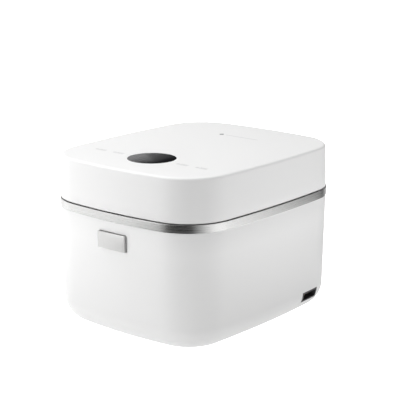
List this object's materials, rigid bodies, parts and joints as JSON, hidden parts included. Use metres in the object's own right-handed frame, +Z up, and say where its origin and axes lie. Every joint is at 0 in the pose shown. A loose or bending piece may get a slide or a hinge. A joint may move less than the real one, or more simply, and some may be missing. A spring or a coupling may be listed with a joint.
{
  "type": "rice cooker",
  "caption": "Free-standing induction rice cooker: rounded white body with a silver band, hinged lid with a round window, lift-out pot and front push button.",
  "frame": {"origin": "on the table plane, under the middle of the body's plan", "axes": "+Z up, front with the push button towards -Y, right side with the mains inlet towards +X, hinge at +Y"},
  "size_m": [0.2716, 0.328, 0.228],
  "materials": {
    "white_shell": "satin white moulded plastic",
    "white_inner": "satin off-white moulded plastic",
    "grey_plastic": "fine-grained light grey plastic",
    "black_plastic": "matt black glass-filled plastic",
    "rubber": "dark grey rubber",
    "zinc_steel": "zinc-plated steel",
    "satin_silver": "satin silver, slightly bright",
    "brushed_silver": "brushed silver face",
    "pot_coating": "dark grey non-stick coating",
    "sheet_metal": "pressed galvanised steel",
    "silicone": "grey silicone rubber",
    "copper": "lacquered copper wire",
    "ferrite": "dark sintered ferrite",
    "aluminium_cap": "pressed aluminium",
    "aluminium_fins": "extruded aluminium",
    "aluminium_inner_lid": "spun aluminium",
    "spring_steel": "spring steel",
    "brass_pins": "plated brass",
    "circuit_board": "green solder mask",
    "capacitor_sleeve": "dark blue shrink sleeve",
    "lead_sleeve": "glass-fibre sleeve",
    "dark_window": "smoked glossy window"
  },
  "bodies": {
    "body": {"body_shell": "white_shell", "base_cover": "grey_plastic", "feet": "rubber", "base_screws": "zinc_steel", "trim_band": "satin_silver", "deck_ring": "white_inner", "inner_pot": "pot_coating", "coil_bowl": "black_plastic", "inner_liner": "sheet_metal", "side_heater": "silicone", "induction_coil": "copper", "ferrite_bars": "ferrite", "coil_tray": "black_plastic", "sensor_sleeve": "black_plastic", "sensor_spring": "spring_steel", "fan_frame": "black_plastic", "inlet_housing": "black_plastic", "inlet_pins": "brass_pins", "power_board": "circuit_board", "heat_sink": "aluminium_fins", "power_devices": "black_plastic", "capacitors": "capacitor_sleeve", "choke_coil": "copper", "coil_leads": "lead_sleeve", "inlet_leads": "lead_sleeve", "hinge_cover": "white_shell", "hinge_bracket": "sheet_metal", "hinge_screws": "zinc_steel", "hinge_pin": "spring_steel", "hinge_spring": "spring_steel", "latch_pin": "spring_steel", "latch_spring": "spring_steel", "button_guide": "black_plastic", "button_springs": "spring_steel"},
    "lid": {"lid_cover": "white_shell", "lid_frame": "white_inner", "lid_hinge_arms": "sheet_metal", "latch_catch": "sheet_metal", "lid_heater_plate": "sheet_metal", "lid_heater": "silicone", "lid_sensor": "aluminium_cap", "inner_lid": "aluminium_inner_lid", "inner_lid_gasket": "silicone", "steam_valve": "silicone", "steam_duct": "silicone", "steam_outlet": "white_inner", "display_window": "dark_window", "light_guide": "black_plastic", "control_board": "circuit_board", "lid_posts": "white_inner", "lid_screws": "zinc_steel"},
    "steam_cap": {"steam_cap": "white_shell"},
    "release_button": {"release_button": "brushed_silver"},
    "latch_hook": {"latch_hook": "black_plastic"},
    "sensor_cap": {"sensor_cap": "aluminium_cap"},
    "fan_rotor": {"fan_rotor": "black_plastic"}
  },
  "joints": [
    {"name": "lid_hinge", "type": "hinge", "parent": "body", "child": "lid", "pos_m": [0, 0.15, 0.176], "axis": [-1, 0, 0], "range_deg": [0, 80]},
    {"name": "steam_cap_pull", "type": "slide", "parent": "lid", "child": "steam_cap", "axis": [0, 1, 0], "range_m": [0, 0.025]},
    {"name": "button_press", "type": "slide", "parent": "body", "child": "release_button", "axis": [0, 1, 0], "range_m": [0, 0.004], "stiffness_N_per_m": 500, "springref_m": -0.003, "deforming": ["button_springs"]},
    {"name": "hook_tip", "type": "hinge", "parent": "body", "child": "latch_hook", "pos_m": [0, -0.152, 0.15], "axis": [1, 0, 0], "range_deg": [0, 8.6]},
    {"name": "sensor_press", "type": "slide", "parent": "body", "child": "sensor_cap", "axis": [0, 0, 1], "range_m": [-0.003, 0], "stiffness_N_per_m": 400, "springref_m": 0.004, "deforming": ["sensor_spring"]},
    {"name": "fan_spin", "type": "hinge", "parent": "body", "child": "fan_rotor", "pos_m": [-0.035, 0.088, 0.015], "axis": [0, 0, 1], "continuous": true}
  ],
  "couplings": [
    {"joint": "hook_tip", "follows": "button_press", "rad_per_m": 37.1}
  ]
}
